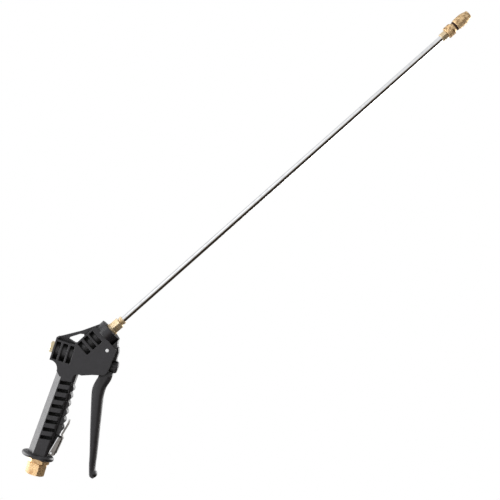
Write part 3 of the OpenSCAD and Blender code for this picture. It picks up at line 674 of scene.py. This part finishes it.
@dataclass
class Trigger(Assembly):
    """The trigger's lever with its pin, and the flow knob in front of it.

    Attributes:
        front_edge: The radius of the lever's front edges, and the faces across it.
        rear_edge: The same of its rear edges.
        lever_drop: How far below the pin the rounded part of the lever starts.
    """

    front_edge: tuple[float, int] = (6.5 * MM, 7)
    rear_edge: tuple[float, int] = (1.4 * MM, 3)
    lever_drop: float = 36 * MM

    def build(self, finishes: Finishes) -> None:
        """Round the lever's long edges, the front ones most, and dress the rest.

        Args:
            finishes: The gun's materials.
        """
        lever = self.copy_of("trigger", "trigger_lever")
        self.round_edges(lever, *self.front_edge, forward=True)
        self.round_edges(lever, *self.rear_edge, forward=False)
        self.finish(lever, "trigger", "nylon", finishes.lever_nylon, "trigger")
        self.dress(finishes.lever_nylon, "flow_knob")
        self.dress(finishes.stainless, "flow_screw")
        self.dress(finishes.zinc, "trigger_pin")

    def round_edges(self, lever: bpy.types.Object, radius: float, segments: int,
                    forward: bool) -> None:
        """Bevel the outer edges along the front or the rear of the lever.

        Args:
            lever: The lever's object.
            radius: The bevel's width.
            segments: The number of faces across the bevel.
            forward: Whether the front edges are meant.
        """
        half_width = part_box("trigger")[1][1]
        top = joint("trigger_squeeze")["pos_m"][2] - self.lever_drop
        select_only(lever)
        bpy.ops.object.mode_set(mode="EDIT")
        bpy.ops.mesh.select_all(action="DESELECT")
        mesh = bmesh.from_edit_mesh(lever.data)
        for edge in mesh.edges:
            if self.is_long_edge(edge, half_width, top, forward):
                edge.select = True
        bmesh.update_edit_mesh(lever.data)
        bpy.ops.mesh.bevel(offset=radius, segments=segments, affect="EDGES",
                           clamp_overlap=False)
        bpy.ops.mesh.select_all(action="DESELECT")
        bpy.ops.object.mode_set(mode="OBJECT")

    def is_long_edge(self, edge: bmesh.types.BMEdge, half_width: float, top: float,
                     forward: bool) -> bool:
        """Tell whether an edge runs down the lever, between a cheek and the front or rear.

        Args:
            edge: The edge.
            half_width: How far the lever's cheeks lie from its middle.
            top: The height below which edges are rounded.
            forward: Whether the front edges are meant.

        Returns:
            True where the edge is one to round.
        """
        if len(edge.link_faces) != 2:
            return False
        cheek, rim = sorted(edge.link_faces, key=lambda face: -abs(face.normal.y))
        outer = all(abs(abs(v.co.y) - half_width) < CLOSE for v in edge.verts)
        below = all(v.co.z < top for v in edge.verts)
        facing = rim.normal.x > 0.2 if forward else rim.normal.x < -0.2
        # The cheek faces straight sideways, and the front or rear face doesn't.
        square = abs(cheek.normal.y) > 0.99 and abs(rim.normal.y) < 0.05
        return outer and below and facing and square


@dataclass
class Nozzle(Assembly):
    """The brass nozzle: a ridged, knurled body and a knurled cap with a dark spray hole.

    Sizes are in millimetres, and heights run along the lance from each piece's rear face. In
    the cap's profile a row is a height and how far inside the widest radius the surface lies.

    Attributes:
        socket: Depth and radius of the blind hole that takes the lance's end.
        crest: The radius of the body's rings.
        rear_chamfer: Height and depth of the body's rear chamfer.
        ring_length: The length of the ringed part.
        ring_count: The number of rings.
        groove_depth: The depth of the grooves between them.
        groove_floor: The width of a groove's floor.
        groove_flank: The length of each of a groove's flanks.
        groove_shift: How far a groove runs past its share of the length.
        neck_radii: The radii of the neck behind the spigot.
        neck_length: The neck's length.
        spigot_radius: The radius of the spigot that the cap screws on to.
        spigot_chamfer: The chamfer at its mouth.
        bore: Depth and radius of the hole in the spigot.
        knurl_depth: The depth of the knurl.
        cap_bore: Depth and radius of the hole that takes the spigot.
        cap_skirt: The cap's profile behind the knurl.
        grip: First height, step and number of the cap's knurled rows.
        cap_taper: The cap's profile before the knurl.
        cap_lip: The profile of its mouth, with heights back from the front face.
        recess: Depth and radius of the recess for the spray disc.
        spray_hole: Depth, from the front face, and radius of the spray hole.
    """

    socket: tuple[float, float] = (7.02, 4.63)
    crest: float = 8.5
    rear_chamfer: tuple[float, float] = (0.35, 0.4)
    ring_length: float = 10.4
    ring_count: int = 5
    groove_depth: float = 0.75
    groove_floor: float = 0.4
    groove_flank: float = 0.15
    groove_shift: float = 0.05
    neck_radii: tuple[float, float] = (7.5, 6.0)
    neck_length: float = 3.4
    spigot_radius: float = 5.2
    spigot_chamfer: float = 0.5
    bore: tuple[float, float] = (8.1, 3.12)
    knurl_depth: float = 0.45
    cap_bore: tuple[float, float] = (12.9, 5.26)
    cap_skirt: tuple[tuple[float, float], ...] = ((0.0, 0.9), (0.5, 0.35), (1.8, 0.25))
    grip: tuple[float, float, int] = (3.0, 1.3, 9)
    cap_taper: tuple[tuple[float, float], ...] = ((14.4, 0.3), (16.0, 0.5), (18.6, 1.1),
                                                  (20.6, 1.75))
    cap_lip: tuple[tuple[float, float], ...] = ((1.5, 2.2), (0.4, 2.4), (0.0, 2.8))
    recess: tuple[float, float] = (1.82, 3.65)
    spray_hole: tuple[float, float] = (5.0, 1.1)

    def build(self, finishes: Finishes) -> None:
        """Turn the body and the cap, and dress what is inside them.

        Args:
            finishes: The gun's materials.
        """
        self.body(finishes.nozzle_brass)
        self.cap(finishes.nozzle_brass)
        self.dress(finishes.lance_brass, "nozzle_core")
        self.dress(finishes.stainless, "spray_disc")
        self.dress(finishes.rubber, "nozzle_o_ring")

    def body(self, brass: bpy.types.Material) -> None:
        """Turn the body: knurled rings, neck and spigot, with blind holes at both ends.

        Args:
            brass: The body's finish.
        """
        start, end = reach("nozzle_body", LANCE)
        total = (end - start) / MM
        neck_end = self.ring_length + self.neck_length
        depth, radius = self.socket
        height, inset = self.rear_chamfer
        rings, knurled = self.ring_rows()
        rows = [(depth, radius), (0.0, radius), (0.0, self.crest - inset), (height, self.crest)]
        rows += rings
        rows += [(self.ring_length, self.neck_radii[0]), (neck_end, self.neck_radii[1]),
                 (neck_end, self.spigot_radius),
                 (total - self.spigot_chamfer, self.spigot_radius),
                 (total, self.spigot_radius - self.spigot_chamfer)]
        depth, radius = self.bore
        rows += [(total, radius), (total - depth, radius)]
        solid = turned("nozzle_ring_body", rows)
        knurl(solid, [height] + knurled, self.knurl_depth)
        lay_along(solid, LANCE.moved(start))
        self.finish(solid, "handle", "brass", brass, "nozzle_body", smooth_deg=28)

    def ring_rows(self) -> tuple[list[tuple[float, float]], list[float]]:
        """Work out the rings' profile.

        Returns:
            The rows of height and radius, and the heights of the knurled ones.
        """
        rows, knurled = [], []
        pitch = self.ring_length / self.ring_count
        root = self.crest - self.groove_depth
        for ring in range(self.ring_count):
            low = ring * pitch
            rise_end = low + pitch + self.groove_shift
            rise_start = rise_end - self.groove_flank
            fall_end = rise_start - self.groove_floor
            fall_start = fall_end - self.groove_flank
            middle = (low + fall_end) / 2
            rows += [(middle, self.crest), (fall_start, self.crest), (fall_end, root)]
            knurled += [middle, fall_start]
            if ring < self.ring_count - 1:
                rows += [(rise_start, root), (rise_end, self.crest)]
                knurled.append(rise_end)
        return rows, knurled

    def cap(self, brass: bpy.types.Material) -> None:
        """Turn the cap: knurled barrel, tapered mouth and a recess for the spray disc.

        Args:
            brass: The cap's finish.
        """
        start, end = reach("nozzle_cap", LANCE)
        total = (end - start) / MM
        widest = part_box("nozzle_cap")[1][1] / MM
        first, step, count = self.grip
        grip = [first + step * row for row in range(count)]
        bore_depth, bore_radius = self.cap_bore
        recess_depth, recess_radius = self.recess
        hole_depth, hole_radius = self.spray_hole
        rows = [(bore_depth, bore_radius), (0.0, bore_radius)]
        rows += [(height, widest - inset) for height, inset in self.cap_skirt]
        rows += [(height, widest) for height in grip]
        rows += [(height, widest - inset) for height, inset in self.cap_taper]
        rows += [(total - back, widest - inset) for back, inset in self.cap_lip]
        rows += [(total, recess_radius), (total - recess_depth, recess_radius),
                 (total - recess_depth, hole_radius), (total - hole_depth, hole_radius)]
        solid = turned("nozzle_knurled_cap", rows)
        knurl(solid, grip, self.knurl_depth)
        lay_along(solid, LANCE.moved(start))
        self.finish(solid, "nozzle_cap", "brass", brass, "nozzle_cap", smooth_deg=28)


@dataclass
class Lance(Assembly):
    """The lance's tube, from the outlet fitting in the nose to the nozzle's rear."""

    def build(self, finishes: Finishes) -> None:
        """Dress the tube, its fittings and their seal.

        Args:
            finishes: The gun's materials.
        """
        self.dress(finishes.lance_brass, "outlet_fitting", "lance_nut", "lance_olive",
                   "lance_end")
        self.dress(finishes.stainless, "lance_tube")
        self.dress(finishes.rubber, "outlet_o_ring")


@dataclass
class Inlet(Assembly):
    """The hose inlet at the grip's foot: fitting, swivel nut, clip and seals."""

    def build(self, finishes: Finishes) -> None:
        """Dress the fitting, the nut, the clip and the seals.

        Args:
            finishes: The gun's materials.
        """
        self.dress(finishes.inlet_brass, "inlet_fitting", "swivel_nut")
        self.dress(finishes.stainless, "swivel_clip")
        self.dress(finishes.rubber, "inlet_o_ring", "hose_washer")


@dataclass
class Lock(Assembly):
    """The trigger lock: a folded sheet-steel channel with a tongue.

    Attributes:
        highlight_band_width: The width of the band along the cheeks' rear edges that carries a
            painted highlight.
        highlight_band_start: How far ahead of the pin's axis the band starts.
        highlight_band_lean_deg: How far the band's front leans from upright, in degrees.
    """

    highlight_band_width: float = 1.3 * MM
    highlight_band_start: float = -3.3 * MM
    highlight_band_lean_deg: float = 31.4

    def build(self, finishes: Finishes) -> None:
        """Cut a band along the rear of the channel's cheeks and give it bright zinc as a painted
        highlight.

        Args:
            finishes: The gun's materials.
        """
        lock = self.copy_of("trigger_lock", "trigger_lock_sheet")
        pivot = Vector(joint("lock_swing")["pos_m"])
        lean = math.radians(self.highlight_band_lean_deg)
        ahead = Vector((math.cos(lean), 0.0, -math.sin(lean)))
        cut = pivot + ahead * (self.highlight_band_start + self.highlight_band_width)
        select_only(lock)
        bpy.ops.object.mode_set(mode="EDIT")
        bpy.ops.mesh.select_all(action="SELECT")
        bpy.ops.mesh.bisect(plane_co=cut, plane_no=ahead)
        bpy.ops.mesh.select_all(action="DESELECT")
        bpy.ops.object.mode_set(mode="OBJECT")
        self.finish(lock, "lock", "bright_steel", finishes.sheet, "trigger_lock")
        lock.data.materials.append(finishes.zinc)
        # Painted highlight: the faces behind the cut take bright zinc, a pale line along the
        # rear edges.
        for face in lock.data.polygons:
            face.material_index = int((face.center - cut).dot(ahead) < 0)
        self.dress(finishes.zinc, "lock_pin")


@dataclass
class Valve(Assembly):
    """The valve from the rear cap to the stem, with its seals and its return spring."""

    def build(self, finishes: Finishes) -> None:
        """Copy the spring as a piece on no body, with its place baked into its mesh; dress the
        rest.

        Args:
            finishes: The gun's materials.
        """
        ends = [VALVE.at(place) for place in reach("valve_spring", VALVE)]
        spring = self.copy_of("valve_spring", "valve_return_spring")
        self.finish(spring, None, "bright_steel", finishes.stainless, "valve_spring")
        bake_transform(spring)
        self.dress(finishes.valve_brass, "rear_cap", "valve_poppet", "valve_seat", "stem_guide")
        self.dress(finishes.stainless, "valve_stem")
        self.dress(finishes.rubber, "cap_washer", "poppet_seal", "seat_o_ring", "stem_o_ring")


# ---- Studio ----


@dataclass(frozen=True)
class Lamp:
    """A soft rectangular lamp that faces the gun.

    Attributes:
        name: The lamp's name.
        place: Its middle, in metres.
        size: Its width and height.
        radiance: Its brightness, where 1 is a white wall's.
    """

    name: str
    place: tuple[float, float, float]
    size: tuple[float, float]
    radiance: float

    def build(self, target: Vector) -> None:
        """Add the lamp.

        Args:
            target: The point that it faces.
        """
        data = bpy.data.lights.new(self.name, "AREA")
        data.shape = "RECTANGLE"
        data.size, data.size_y = self.size
        data.energy = self.radiance * math.pi * self.size[0] * self.size[1]
        lamp = bpy.data.objects.new(self.name, data)
        lamp.location = self.place
        aim = target - Vector(self.place)
        lamp.rotation_euler = aim.to_track_quat("-Z", "Y").to_euler()
        bpy.context.collection.objects.link(lamp)


@dataclass(frozen=True)
class DarkSide:
    """A dark patch of the room, which reflections see.

    Attributes:
        towards: The direction in which it lies.
        core: The cosine of the angle within which it is darkest.
        rim: The cosine of the angle past which the room is white.
        least: Its brightness at its darkest, where 1 is white.
    """

    towards: tuple[float, float, float]
    core: float
    rim: float
    least: float

    def brightness(self, tree: bpy.types.NodeTree,
                   heading: bpy.types.NodeSocket) -> bpy.types.NodeSocket:
        """Grade the room around the patch.

        Args:
            tree: The world's node tree.
            heading: The direction in which a ray looks.

        Returns:
            The socket of the brightness.
        """
        cosine = add_node(tree, "VectorMath", {0: heading, 1: Vector(self.towards).normalized()},
                          operation="DOT_PRODUCT")
        graded = add_node(tree, "MapRange", {"Value": cosine.outputs["Value"],
                                             "From Min": self.core, "From Max": self.rim,
                                             "To Min": self.least, "To Max": 1.0},
                          interpolation_type="SMOOTHSTEP")
        return graded.outputs["Result"]


@dataclass
class Studio:
    """The camera, the lights, the surroundings and the floor.

    Attributes:
        picture_px: The picture's width and height.
        px_size: What a pixel covers at the gun.
        distance: How far the camera is from the gun.
        sensor_mm: The camera's sensor width.
        mouth_px: The swivel nut's mouth in the picture, from its top left.
        fill: The strength of the surroundings' diffuse light.
        shade_tint: The sRGB colour of the room's dark patches at their edge.
        shade_tint_level: The brightness that takes that colour.
        dark_sides: The room's dark patches.
        lamps: The lamps.
        lamp_target: The point that the lamps face.
        floor_size: The floor's size along X and Y.
        floor_middle: The floor's middle, well below the gun.
        floor_colour: Its sRGB colour.
    """

    picture_px: int = 500
    px_size: float = 1.38 * MM
    distance: float = 1.8
    sensor_mm: float = 36.0
    mouth_px: tuple[float, float] = (34.22, 473.91)
    fill: float = 0.5
    shade_tint: str = "#98866f"
    shade_tint_level: float = 0.3
    dark_sides: tuple[DarkSide, ...] = (
        DarkSide((0.51, -0.64, -0.57), core=0.975, rim=0.6, least=0.02),
        DarkSide((0.90, -0.05, -0.43), core=0.92, rim=0.5, least=0.45),
        DarkSide((0.62, 0.25, -0.74), core=0.9, rim=0.5, least=0.03),
    )
    lamps: tuple[Lamp, ...] = (
        Lamp("key", (-1.1, -1.5, 1.7), (1.4, 1.4), 0.6),
        Lamp("left_wall", (-1.25, -0.1, 0.2), (2.2, 1.5), 5.4),
        Lamp("right_wall", (1.6, 1.3, 0.3), (2.4, 1.4), 4.4),
    )
    lamp_target: tuple[float, float, float] = (0.2, 0.0, 0.2)
    floor_size: tuple[float, float] = (9.0, 6.0)
    floor_middle: tuple[float, float, float] = (0.3, 2.6, -0.62)
    floor_colour: str = "#dededc"

    def camera(self) -> None:
        """Place the camera level with the gun's middle, looking along +Y."""
        half = self.picture_px / 2
        data = bpy.data.cameras.new("camera")
        data.sensor_width = self.sensor_mm
        data.lens = self.sensor_mm * self.distance / (self.picture_px * self.px_size)
        eye = bpy.data.objects.new("camera", data)
        eye.location = ((half - self.mouth_px[0]) * self.px_size, -self.distance,
                        (self.mouth_px[1] - half) * self.px_size)
        eye.rotation_euler = (math.pi / 2, 0.0, 0.0)
        bpy.context.collection.objects.link(eye)
        bpy.context.scene.camera = eye

    def room(self, tree: bpy.types.NodeTree,
             heading: bpy.types.NodeSocket) -> bpy.types.NodeSocket:
        """Shade the room that reflections see: white, with a brown table on the low right.

        Args:
            tree: The world's node tree.
            heading: The direction in which a ray looks.

        Returns:
            The socket of the room's colour.
        """
        darkest, *others = [side.brightness(tree, heading) for side in self.dark_sides]
        for other in others:
            darkest = add_node(tree, "Math", {0: darkest, 1: other},
                               operation="MINIMUM").outputs[0]
        tint = add_node(tree, "ValToRGB", {"Fac": darkest})
        tint.color_ramp.elements[0].color = BLACK
        tint.color_ramp.elements[1].color = WHITE
        tint.color_ramp.elements.new(self.shade_tint_level).color = linear(self.shade_tint)
        return tint.outputs["Color"]

    def surroundings(self) -> None:
        """Make the world: white where it shows, and a softly graded room in reflections."""
        world = bpy.data.worlds.new("studio")
        bpy.context.scene.world = world
        world.use_nodes = True
        tree = world.node_tree
        tree.nodes.clear()
        path = add_node(tree, "LightPath")
        room = self.room(tree, add_node(tree, "TexCoord").outputs["Generated"])
        seen = add_node(tree, "MixRGB", {"Fac": path.outputs["Is Camera Ray"], "Color1": room,
                                         "Color2": WHITE})
        plain = add_node(tree, "MixRGB", {"Fac": path.outputs["Is Diffuse Ray"],
                                          "Color1": seen.outputs["Color"], "Color2": WHITE})
        strength = add_node(tree, "Mix", {"Factor": path.outputs["Is Diffuse Ray"], "A": 1.0,
                                          "B": self.fill})
        back = add_node(tree, "Background", {"Color": plain.outputs["Color"],
                                             "Strength": strength.outputs["Result"]})
        add_node(tree, "OutputWorld", {"Surface": back.outputs[0]})

    def floor(self) -> None:
        """Lay a pale floor well below the gun."""
        bpy.ops.mesh.primitive_plane_add(size=1.0)
        floor = rename(bpy.context.object, "floor")
        bpy.ops.object.mode_set(mode="EDIT")
        bpy.ops.mesh.select_all(action="SELECT")
        bpy.ops.transform.resize(value=(*self.floor_size, 1.0))
        bpy.ops.transform.translate(value=self.floor_middle)
        bpy.ops.object.mode_set(mode="OBJECT")
        floor.data.materials.append(self.floor_paint())

    def floor_paint(self) -> bpy.types.Material:
        """Make the floor's paint: white where it shows, and open to the room in reflections.

        Returns:
            The material.
        """
        material = bpy.data.materials.new("painted_floor")
        material.use_nodes = True
        tree = material.node_tree
        tree.nodes.clear()
        path = add_node(tree, "LightPath")
        paint = add_node(tree, "BsdfDiffuse", {"Color": linear(self.floor_colour)})
        white = add_node(tree, "Emission", {"Color": WHITE, "Strength": 1.0})
        shown = add_node(tree, "MixShader", {0: path.outputs["Is Camera Ray"],
                                             1: paint.outputs[0], 2: white.outputs[0]})
        clear = add_node(tree, "BsdfTransparent")
        both = add_node(tree, "MixShader", {0: path.outputs["Is Glossy Ray"],
                                            1: shown.outputs[0], 2: clear.outputs[0]})
        add_node(tree, "OutputMaterial", {"Surface": both.outputs[0]})
        return material

    def build(self) -> None:
        """Light the gun and lay the floor."""
        for lamp in self.lamps:
            lamp.build(Vector(self.lamp_target))
        self.surroundings()
        self.floor()


# ---- The whole ----


def make_finishes(handle: Handle) -> Finishes:
    """Make the gun's materials.

    Args:
        handle: The handle, whose collar is polished.

    Returns:
        The materials.
    """
    return Finishes(
        # Nylon with glass fibre: black, slightly violet, dull on its flats and matte in its
        # grooves, which painted shade darkens, with a polished collar.
        nylon=MouldedNylon("glass_filled_nylon", "#18171b", 0.42, collar=handle.collar(),
                           collar_length=handle.collar_length).build(),
        # The same nylon on the lever and the knob, grained all over, with painted shade in its
        # grooves.
        lever_nylon=MouldedNylon("glass_filled_nylon_lever", "#18171b", 0.42).build(),
        # Turned brass: pale and bright, with fine rings and a few handled, browner places.
        lance_brass=Metal("turned_brass_on_lance", "#d2bf9e", 0.36, stain="#bfa172",
                          pattern=Pattern.TURNED, axis=LANCE, stained_share=0.42,
                          oxide=0.5).build(),
        # Knurled brass: tan and mottled, because dirt and oxide stay in the knurl.
        nozzle_brass=Metal("knurled_brass_nozzle", "#e4c597", 0.42, stain="#7a5529",
                           pattern=Pattern.TURNED, axis=LANCE, stain_mm=3.4,
                           stained_share=0.44, oxide=0.2).build(),
        # Drawn hexagon brass: warmer, with lines along the bar and brown stains.
        inlet_brass=Metal("drawn_brass_on_inlet", "#dab88a", 0.3, stain="#a8713a",
                          pattern=Pattern.DRAWN, axis=INLET, oxide=0.6).build(),
        # The rear plug's turned brass: pale, with a thin dull skin.
        valve_brass=Metal("turned_brass_on_valve", "#cdbf9e", 0.3, stain="#a88450",
                          pattern=Pattern.TURNED, axis=VALVE, oxide=0.6).build(),
        # Drawn stainless steel: a clean mirror-like cylinder with faint lines along it.
        stainless=Metal("drawn_stainless", "#dcdddf", 0.14, stain="#c6c7ca",
                        pattern=Pattern.DRAWN, axis=LANCE, mark_mm=0.3).build(),
        # Zinc plating: silvery white pins, and the painted highlight along the lock's rear
        # edges.
        zinc=Metal("bright_zinc", "#e3e4e6", 0.25, stain="#c9cbce", mark_mm=1.2).build(),
        # Pressed sheet steel: a darker, duller grey than the pins.
        sheet=Metal("pressed_steel_sheet", "#8d8a87", 0.36, stain="#6f6c69", mark_mm=1.2,
                    edge_mm=0.4).build(),
        # Fluoro rubber: dark brown and matte, with a paler bloom.
        rubber=Rubber("fluoro_rubber", "#200d05", 0.85).build(),
    )


def main() -> None:
    """Place the camera, build each sub-assembly in order, and light them."""
    logging.basicConfig(level=logging.INFO, format="%(message)s")
    bpy.context.scene.view_settings.view_transform = "Standard"
    studio = Studio()
    studio.camera()
    handle = Handle()
    finishes = make_finishes(handle)
    for assembly in (handle, Trigger(), Nozzle(), Lance(), Inlet(), Lock(), Valve()):
        assembly.build(finishes)
    studio.build()


if __name__ == "__main__":
    main()
